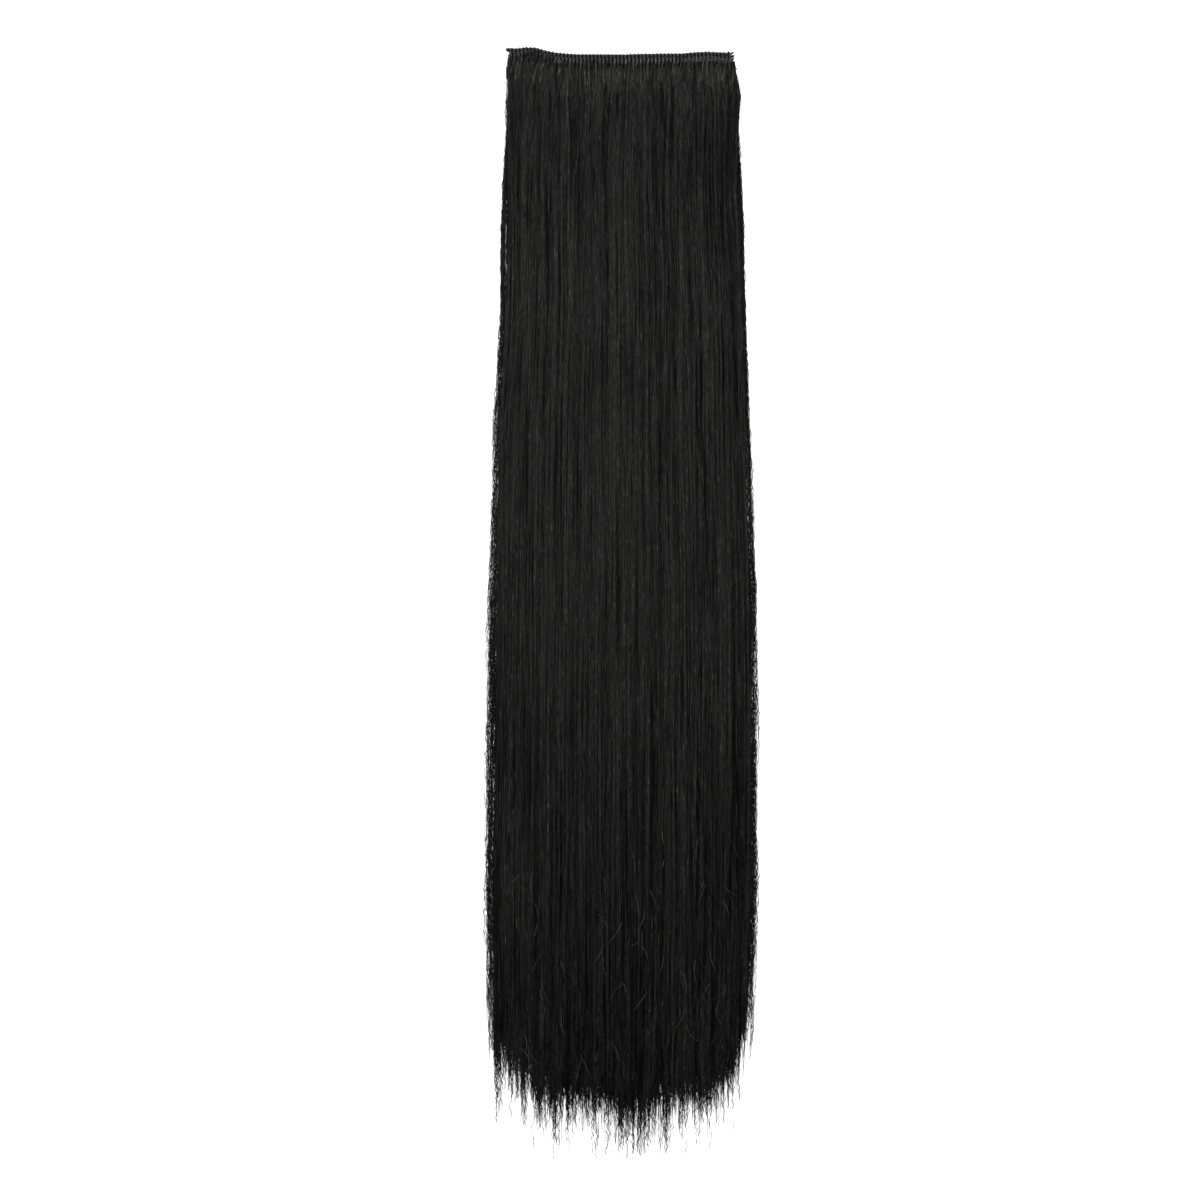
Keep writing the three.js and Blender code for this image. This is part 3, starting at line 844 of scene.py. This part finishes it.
# %% Hairs beside the fall
side_rows = np.linspace(0, 1, 26)
side_taper = np.array([0.3, 0.8, *[1] * 22, 0.7, 0.3])
for name, sign, first, over, count in (
    ("side_hairs_left", -1, 35, 170, 780), ("side_hairs_right", 1, 60, 240, 760),
):
    starts = rng.uniform(14, 515, count)
    last = read(tip_line, 1, float(sign)) * fall_length + rng.uniform(-60, 25, count)
    reach = np.clip(rng.uniform(26, 74, count), 12, np.maximum(last - starts, 12))
    drop = starts[:, None] + reach[:, None] * side_rows
    grown = np.clip((starts - first) / over, 0.4, 1)
    inside = rng.normal(1.2, 1.5, count).clip(-2.2, 4.2) * grown + 0.2
    bow = np.sin(math.pi * side_rows) * rng.normal(0.2, 0.5, (count, 1)) * grown[:, None]
    crinkle = rng.normal(0, 0.40, drop.shape)
    line = np.interp(drop, fray[:, 0], fray[:, 3 if sign < 0 else 4])
    x = side_to_side(float(sign), drop) + sign * (bow - inside[:, None] - line + crinkle)
    top, _, low = heights(float(sign) * 0.985, drop)
    z = np.maximum(low + (top - low) * rng.uniform(0.05, 0.95, (count, 1)), 0.2)
    radius = 0.15 * rng.uniform(0.5, 1.4, drop.shape)
    tone = np.clip(rng.uniform(0.2, 0.8, (count, 1)) + rng.normal(0, 0.1, drop.shape), 0, 1)
    strands(name, x, drop, z, radius, tone, side_taper)

# %% Bent hairs across the lower third
bent_count = 80
bent_rows = np.linspace(0, 1, 9)
bent_taper = np.array([0.3, 0.8, 1, 1, 1, 1, 0.9, 0.6, 0.2])
reach = rng.uniform(5, 17, bent_count)
turn = rng.normal(0, 0.42, bent_count)
bend = rng.normal(0, 0.7, bent_count)
middle_drop = 395 + 160 * rng.beta(1.6, 1.2, bent_count)
middle_x = rng.uniform(-0.8, 0.8, bent_count) * half_fall
angle = turn[:, None] + bend[:, None] * (bent_rows - 0.5)
step = reach[:, None] / (len(bent_rows) - 1)
x = middle_x[:, None] + np.cumsum(np.sin(angle) * step, 1)
drop = middle_drop[:, None] + np.cumsum(np.cos(angle) * step, 1) - reach[:, None] / 2
drop = np.minimum(drop, 560)
z = heights(across_at(x, drop), drop)[0] + 0.35 + 0.5 * np.sin(math.pi * bent_rows)
# Their tone, 0.8 to 1.12, lighter than the rest, is painted highlight.
strands("bent_hairs", x, drop, z, 0.14, rng.uniform(0.8, 1.12, (bent_count, 1)), bent_taper)

# %% [markdown]
# ## The sewn heads
#
# A weft is made on a sewing machine: hair is fed across a few threads, folded over them and locked
# with tight stitches. What shows is a folded strip with a rope of slanting stitches along its top
# edge and a row of gathered tufts under it, one every two millimetres. The strip is lofted from
# rings, since its edge rises at one corner. The stitches repeat, so a Geometry Nodes tree sets them.

# %% The folded strips
stitch_pitch = 2.0
section_points = 16


def back_dip(across):
    return back_drop + 0 * across


# lowest and highest corner, drop of the sewn edge, how far the right end has come undone (mm)
heads = {
    "front_band": (front_band_low, front_band_high, edge_dip, 1.6),
    "back_band": (back_band_low, back_band_high, back_dip, 1.2),
}


def folded_strip(name, node_name):
    low, high, drop_of, loose = heads[node_name]
    half = high[0]
    xs = np.arange(-half, half - loose + 0.01, 0.5)
    turn = 2 * math.pi * (np.arange(section_points) + 0.5) / section_points
    round_y = np.sign(np.cos(turn)) * np.abs(np.cos(turn)) ** 0.35
    round_z = np.sign(np.sin(turn)) * np.abs(np.sin(turn)) ** 0.6
    pleat = 0.5 + 0.5 * np.cos(2 * math.pi * xs / stitch_pitch)
    thick = (high[2] - low[2]) / 2 * (0.58 + 0.16 * pleat)
    top = head_top - drop_of(xs / half)
    y = top[:, None] - (band_height - 0.3) * (1 - round_y) / 2
    z = (low[2] + high[2]) / 2 + thick[:, None] * round_z
    points = np.stack([np.repeat(xs[:, None], section_points, 1), y, z], 2)
    rings, size = points.shape[:2]
    ids = np.arange(rings * size).reshape(rings, size)
    quads = np.stack([ids[:-1], ids[1:], np.roll(ids[1:], -1, 1), np.roll(ids[:-1], -1, 1)], 2)
    faces = quads.reshape(-1, 4).tolist() + [ids[0].tolist(), ids[-1][::-1].tolist()]
    return finish_piece(skin(name, points, faces, shaded_fold), node_name)


folded_strip("front_band_fold", "front_band")
folded_strip("back_band_fold", "back_band")

# %% The stitch tree
stitch_tree, given, result = new_tree("stitches_on_edge", {
    "Pitch": ("Float", 0.002), "Stitch Size": ("Vector", None), "Lean": ("Float", 0.0),
    "Unevenness": ("Float", 0.1), "Seed": ("Int", 1), "Material": ("Material", None),
})
link = stitch_tree.links.new
to_curve = node(stitch_tree, "GeometryNodeMeshToCurve")
spread = node(stitch_tree, "GeometryNodeResampleCurve", mode="LENGTH")
place = node(stitch_tree, "GeometryNodeInstanceOnPoints")
realize = node(stitch_tree, "GeometryNodeRealizeInstances")
paint = node(stitch_tree, "GeometryNodeSetMaterial")
chain(stitch_tree, given, to_curve, spread, place, realize, paint, result)
link(given.outputs["Pitch"], spread.inputs["Length"])
ball = node(stitch_tree, "GeometryNodeMeshUVSphere")
ball.inputs["Segments"].default_value = 8
ball.inputs["Rings"].default_value = 6
ball.inputs["Radius"].default_value = 1.0
press = node(stitch_tree, "GeometryNodeTransform")
smooth = node(stitch_tree, "GeometryNodeSetShadeSmooth")
chain(stitch_tree, ball, press, smooth)
link(given.outputs["Stitch Size"], press.inputs["Scale"])
link(smooth.outputs[0], place.inputs["Instance"])
tangent = node(stitch_tree, "GeometryNodeInputTangent")
align = node(stitch_tree, "FunctionNodeAlignRotationToVector", axis="X", pivot_axis="Z")
turn = node(stitch_tree, "FunctionNodeRotateRotation", rotation_space="LOCAL")
link(tangent.outputs[0], align.inputs["Vector"])
link(align.outputs[0], turn.inputs["Rotation"])


def random_between(low, high, seed_shift):
    made = node(stitch_tree, "FunctionNodeRandomValue", data_type="FLOAT")
    made.inputs[2].default_value, made.inputs[3].default_value = low, high
    link(maths(stitch_tree, "ADD", given.outputs["Seed"], seed_shift), made.inputs["Seed"])
    return maths(stitch_tree, "MULTIPLY", made.outputs[1], given.outputs["Unevenness"])


euler = node(stitch_tree, "ShaderNodeCombineXYZ")
lean = maths(stitch_tree, "ADD", given.outputs["Lean"], random_between(-1.5, 1.5, 0))
link(lean, euler.inputs["Z"])
link(euler.outputs[0], turn.inputs["Rotate By"])
link(turn.outputs[0], place.inputs["Rotation"])
size = node(stitch_tree, "ShaderNodeCombineXYZ")
size.inputs["X"].default_value = 1.0
size.inputs["Z"].default_value = 1.0
link(maths(stitch_tree, "ADD", 1.0, random_between(-1.0, 1.0, 7)), size.inputs["Y"])
link(size.outputs[0], place.inputs["Scale"])
link(given.outputs["Material"], paint.inputs["Material"])
print(stitch_tree.name, len(stitch_tree.nodes), "nodes")


# %% Rows of stitches
row_end = 0.9  # how far a row stays inside the ends of its band
row_points = 90


def stitch_row(name, node_name, kind, below, height, lean):
    """A row of stitches some way below a sewn edge."""
    _, high, drop_of, loose = heads[node_name]
    size, uneven, material = kind
    xs = np.linspace(-high[0] + row_end, high[0] - row_end - loose, row_points)
    y = head_top - drop_of(xs / high[0]) - below
    line = np.stack([xs, y, np.full(row_points, float(height))], 1)[None]
    # This tone, 0.90 to 1.02, is read only by the tufts' hair material: the tufts are painted
    # lighter than the fall, as painted sheen near the head.
    mesh = path_mesh(line, 1.0, rng.uniform(0.90, 1.02, row_points))
    piece = bake_nodes(name, mesh, stitch_tree, **{
        "Pitch": stitch_pitch * mm, "Stitch Size": [v * mm for v in size], "Lean": lean,
        "Unevenness": uneven, "Seed": 4, "Material": material,
    })
    return finish_piece(piece, node_name)


front_middle = (front_band_low[2] + front_band_high[2]) / 2
back_middle = (back_band_low[2] + back_band_high[2]) / 2
# half length, width and depth of a stitch (mm), unevenness, material
rope = ((0.56, 1.85, 1.45), 0.10, sewing_thread)
tuft = ((0.60, 2.0, 0.85), 0.10, hair_fibre)
chain_stitch = ((0.85, 0.30, 0.35), 0.15, sewing_thread)
for row in (
    ("front_rope_stitches", "front_band", rope, 0.95, front_middle, -0.5),
    ("front_gathered_tufts", "front_band", tuft, 4.0, front_band_high[2] - 0.6, -0.06),
    ("front_under_tufts", "front_band", tuft, 4.2, front_band_low[2] + 0.6, 0.06),
    ("front_chain_stitches", "front_band", chain_stitch, 2.5, front_band_high[2] - 0.1, 0.25),
    ("back_rope_stitches", "back_band", rope, 1.15, back_middle, 0.5),
    ("back_gathered_tufts", "back_band", tuft, 4.2, back_band_high[2] - 0.6, 0.06),
    ("back_under_tufts", "back_band", tuft, 4.2, back_band_low[2] + 0.6, -0.06),
    ("back_chain_stitches", "back_band", chain_stitch, 2.5, back_band_low[2] + 0.1, -0.25),
):
    stitch_row(*row)

# %% [markdown]
# ## Roots, knots and frayed ends
#
# Below the stitches each gathered tuft opens like a small fan before it joins the fall. Where a clip
# is sewn on from behind, the needle has pulled the tufts askew: near the left end they are bigger
# and lean to the left, and near the right end a ridge of thread crosses them. Thin dark strands lie
# over the roots as painted shade in the partings between them, and frayed ends stick out at both
# corners.

# %% Fans under the stitches
fan_rows = np.linspace(0, 1, 7)
fan_taper = np.array([0.8, 1, 1, 1, 0.9, 0.7, 0.3])
tuft_lines = []
for x0 in np.arange(-half_band + 1.0, half_band - 0.8, stitch_pitch):
    across0 = x0 / half_band
    askew = np.exp(-(((across0 + 0.74) / 0.2) ** 2))
    knotted = np.exp(-(((across0 - 0.8) / 0.24) ** 2))
    count, dark = int(18 + 5 * askew), 4  # the last few are the shaded hair between two tufts
    edge = edge_dip(across0)
    begin = edge + 4.4 - 3.0 * askew + rng.normal(0, 0.3)
    reach = rng.uniform(9, 24) + 4 * askew
    lean = -0.4 - 4.6 * askew + 1.0 * knotted + rng.normal(0, 0.5 + 0.6 * knotted)
    open_up = rng.uniform(0.3, 0.8)
    start = rng.normal(0, 0.24 + 0.12 * askew, (count, 1))
    end = start + rng.normal(0, open_up, (count, 1))
    share = rng.uniform(0.7, 1.1, (count, 1))
    start[-dark:] = end[-dark:] = 1.0 + rng.normal(0, 0.11, (dark, 1))
    share[-dark:] = rng.uniform(0.2, 0.34) + 0.12 * askew
    t = fan_rows
    x = x0 + start + (end - start) * t + lean * (1 - (1 - t) ** 1.6) + 0.9 * askew
    drop = begin + rng.uniform(0, 1.0, (count, 1)) + reach * share * t
    side = np.clip(x / half_band, -1, 1)
    over_band = np.where(drop < edge + band_height + 1, front_band_high[2], 0)
    top = np.maximum(heights(side, drop)[0], over_band)
    arch = rng.uniform(-0.1, 0.45, (count, 1)) * np.sin(math.pi * np.clip(t * 1.1, 0, 1))
    z = top + 0.15 + arch - 0.7 * t**3
    limit = half_band + rng.uniform(-0.2, 1.3, (count, 1)) - frayed(x, drop) + 0.5
    # The fans' light tone is painted sheen near the head.
    tone = np.clip(rng.normal(0.83, 0.07) + rng.normal(0, 0.12, (count, 1)), 0.1, 0.97)
    tone[-dark:] = 0.05
    tuft_lines.append((np.clip(x, -limit, limit), drop, z, tone))
count = 150
for corner in (-1, 1):
    x = corner * (half_band - rng.uniform(0.2, 4.5, (count, 1)))
    reach = rng.uniform(14, 60, (count, 1))
    bow = rng.uniform(0.2, 2.4, (count, 1)) * np.sin(math.pi * np.clip(t * reach / 45 + 0.1, 0, 1))
    x = x + corner * bow + rng.normal(0, 0.22, (count, len(fan_rows)))
    drop = edge_dip(float(corner)) + rng.uniform(2.8, 10, (count, 1)) + reach * t
    x = x - corner * (frayed(float(corner), drop) - 0.5)
    z = rng.uniform(4.4, 7.0, (count, 1)) - 1.2 * t**2
    tuft_lines.append((x, drop, z, rng.uniform(0.3, 0.85, (count, 1))))
x, drop, z, tone = (np.concatenate(part) for part in zip(*tuft_lines))
radius = 0.17 * rng.uniform(0.8, 1.2, (len(x), 1))
strands("root_fans", x, drop, z, radius, tone, fan_taper, "front_band")

# %% Painted shade in the partings between the roots
# where a line of painted shade starts (x, drop), its length and its lean to the right (mm)
parting_shade_lines = np.array([
    (-56.8, 5.0, 2.6, -0.3), (-47.3, 5.3, 4.5, -1.2), (-41.0, 6.6, 10.0, -3.5),
    (-37.5, 8.2, 4.5, -0.8), (-30.0, 8.1, 14.5, -3.0), (-44.5, 12.6, 6.0, -1.0),
    *(
        (rng.uniform(-56, 56), rng.uniform(7, 34), rng.uniform(3, 9), rng.normal(-0.2, 0.4))
        for k in range(36)
    ),
])
x0, drop0, reach, lean = (column[:, None] for column in parting_shade_lines.T)
x = x0 + lean * fan_rows + 0.15 * np.sin(5 * fan_rows + x0)
drop = drop0 + reach * fan_rows
over_band = np.where(drop < 8, front_band_high[2], 0)
z = np.maximum(heights(x / half_band, drop)[0], over_band) + 0.42
parting_shade_taper = np.array([0.5, 0.9, 1, 1, 0.9, 0.7, 0.3])
# Tubes of tone 0 just over the roots: painted shade where the partings are.
strands("root_parting_shade", x, drop, z, 0.24, 0.0, parting_shade_taper, "front_band")

# %% The ridge of thread at the right
thread_rows = np.linspace(0, 1, 14)
ridge_x = 33 + 26.2 * thread_rows
ridge = []
for k in range(4):
    drop = edge_dip(ridge_x / half_band) + 3.3 + 0.55 * k + 0.3 * np.sin(9 * thread_rows + 2.1 * k)
    z = front_band_high[2] + 0.12 + 0.12 * np.sin(25 * thread_rows + k)
    ridge.append(np.stack([ridge_x, head_top - drop, z], 1))
ridge_piece = tubes("thread_ridge", np.array(ridge), 0.16, 0.5, sewing_thread, sides=5)
finish_piece(ridge_piece, "front_band")

# %% Frayed ends at both corners
# where an end leaves the corner (x, y), its heading (degrees) and its length (mm)
loose_ends = [
    (57.0, 296.0, 70, 2.0), (57.3, 296.2, 85, 1.6), (58.6, 295.8, 55, 2.4), (58.9, 296.0, 65, 1.8),
    (59.0, 295.0, 15, 1.3), (59.0, 294.4, 25, 1.0), (59.0, 292.6, -5, 1.3), (59.1, 291.8, -20, 1.2),
    (59.4, 290.6, -45, 2.6), (59.6, 289.8, -40, 2.2), (60.2, 289.2, -60, 2.0),
    (60.6, 288.6, -30, 1.6),
    (-60.6, 298.0, 150, 2.8), (-60.6, 297.4, 158, 2.4), (-60.8, 298.6, 140, 1.8),
    (-60.4, 296.0, 200, 1.4),
]
undone = half_band - heads["front_band"][3] - 0.3
for k in range(12):
    y, heading, reach = rng.uniform(289, 296), rng.uniform(-60, 50), rng.uniform(0.8, 2.2)
    loose_ends.append((undone, y, heading, reach))
ends = []
for x0, y0, heading, reach in loose_ends:
    angle = math.radians(heading) + rng.normal(0, 0.7) * thread_rows
    x = x0 + np.cumsum(np.cos(angle)) * reach / (len(thread_rows) - 1)
    y = y0 + np.cumsum(np.sin(angle)) * reach / (len(thread_rows) - 1)
    z = front_middle + rng.uniform(-0.8, 0.8) + rng.uniform(-0.6, 0.6) * thread_rows**2
    ends.append(np.stack([x, y, z], 1))
end_taper = np.append(np.ones(10), [0.95, 0.85, 0.7, 0.4])
tone = rng.uniform(0.2, 0.6, (len(ends), 1))
frayed_ends = tubes("frayed_ends", np.array(ends), 0.42, tone, hair_fibre, 5, end_taper)
finish_piece(frayed_ends, "front_band")

# %% Knots that hold the clips
loop_turns = np.linspace(0.08, 0.92, 14) * 2 * math.pi
loop_width, loop_height = 0.95, 1.45  # half sizes (mm)
loops = []
clip_low, clip_high = box_mm("clip_right")
clip_centre = (clip_low + clip_high) / 2
eyelet_away = (clip_high[0] - clip_low[0]) / 2 - 1.6
for side in (-1, 1):
    for end in (-1, 1):
        for k in range(4):
            x = side * clip_centre[0] + end * (eyelet_away + loop_width)
            x = x + loop_width * np.sin(loop_turns) * end
            z = 1.85 - loop_height * np.cos(loop_turns + math.pi)
            y = clip_centre[1] + (k - 1.5) * 0.28 + rng.uniform(-0.1, 0.1) + 0 * x
            loops.append(np.stack([x, y, z], 1))
knots = tubes("clip_knots", np.array(loops), 0.14, 0.5, sewing_thread, sides=5)
finish_piece(knots, "back_band")

# %% [markdown]
# ## The table and the light
#
# Catalogue pictures are taken on a white table in a light tent, under soft boxes. One large soft box
# hangs over the head end, so the gloss is strongest near the sewn edge and fades towards the tips.
# The walls of the tent are brighter than its top, which puts a sheen on hair that is seen from low.

# %% Table
table_mesh = bpy.data.meshes.new("table")
half = 4.0
corners = [(-half, -half, 0), (half, -half, 0), (half, half, 0), (-half, half, 0)]
table_mesh.from_pydata(corners, [], [(0, 1, 2, 3)])
table = add_object("table", table_mesh)
table_white, tree, shader = new_material("table_white", 0.1, 0.9)
shader.inputs["Base Color"].default_value = (0.86, 0.86, 0.86, 1)
shader.inputs["Emission Color"].default_value = (1, 1, 1, 1)
shader.inputs["Emission Strength"].default_value = 0.65
table_mesh.materials.append(table_white)

# %% Soft boxes
def soft_box(name, place, target, size, power):
    data = bpy.data.lights.new(name, "AREA")
    data.shape = "RECTANGLE"
    data.size, data.size_y = size
    data.energy = power
    light = add_object(name, data)
    light.location = place
    aim = np.array(target) - np.array(place)
    light.rotation_euler = Vector(aim).to_track_quat("-Z", "Y").to_euler()


soft_box("soft_box_head", (0.0, 0.75, 1.25), (0, 0.15, 0), (1.3, 0.6), 16)
soft_box("soft_box_side", (-1.2, 0.2, 1.0), (0, 0, 0), (0.6, 1.2), 5)
world = bpy.data.worlds.new("studio")
world.use_nodes = True
tent = world.node_tree
background = tent.nodes["Background"]
background.inputs["Color"].default_value = (1, 1, 1, 1)
toward = node(tent, "ShaderNodeTexCoord")
split = node(tent, "ShaderNodeSeparateXYZ")
tent.links.new(toward.outputs["Generated"], split.inputs[0])
brightness = map_range(tent, split.outputs["Z"], 1.0, 0.3, 0.15, 0.65)
tent.links.new(brightness, background.inputs["Strength"])
bpy.context.scene.world = world
bpy.context.scene.view_settings.view_transform = "Standard"
print("lights ready")
